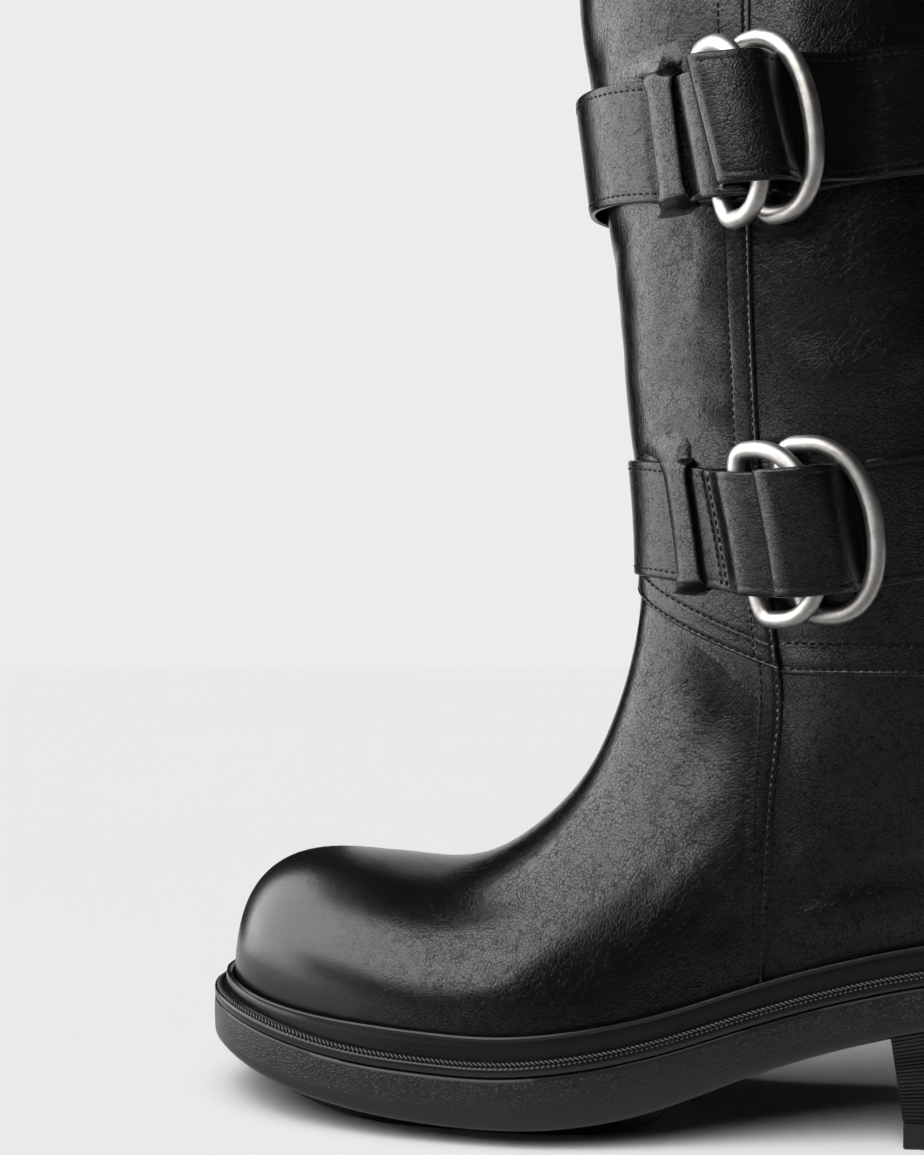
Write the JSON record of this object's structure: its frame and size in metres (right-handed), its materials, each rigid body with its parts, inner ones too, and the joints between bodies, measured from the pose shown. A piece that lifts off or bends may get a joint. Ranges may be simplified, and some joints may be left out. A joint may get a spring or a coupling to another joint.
{
  "type": "tall boot",
  "caption": "Tall black leather boot for the left foot with rubber sole, block heel, storm welt and shaft straps closed by pairs of metal rings.",
  "frame": {"origin": "middle of the bounding box on the floor", "axes": "toe to -X, outer side of the boot to -Y, up +Z"},
  "size_m": [0.287, 0.1318, 0.465],
  "materials": {
    "upper_leather": "black full-grain leather, satin",
    "strap_leather": "black strap leather, satin",
    "sole_rubber": "black moulded rubber, matt",
    "welt_rubber": "black welt, smooth lip and ribbed strip",
    "insole_board": "dark leather foot bed",
    "ring_metal": "worn silver wire"
  },
  "bodies": {
    "root": {"heel": "sole_rubber", "heel_tip": "sole_rubber", "insole": "insole_board", "loop_inner_low": "strap_leather", "loop_inner_mid": "strap_leather", "loop_inner_top": "strap_leather", "loop_outer_low": "strap_leather", "loop_outer_mid": "strap_leather", "loop_outer_top": "strap_leather", "outsole": "sole_rubber", "ring_front_low": "ring_metal", "ring_front_mid": "ring_metal", "ring_front_top": "ring_metal", "ring_rear_low": "ring_metal", "ring_rear_mid": "ring_metal", "ring_rear_top": "ring_metal", "strap_low": "strap_leather", "strap_mid": "strap_leather", "strap_top": "strap_leather", "upper": "upper_leather", "welt": "welt_rubber"}
  },
  "joints": []
}
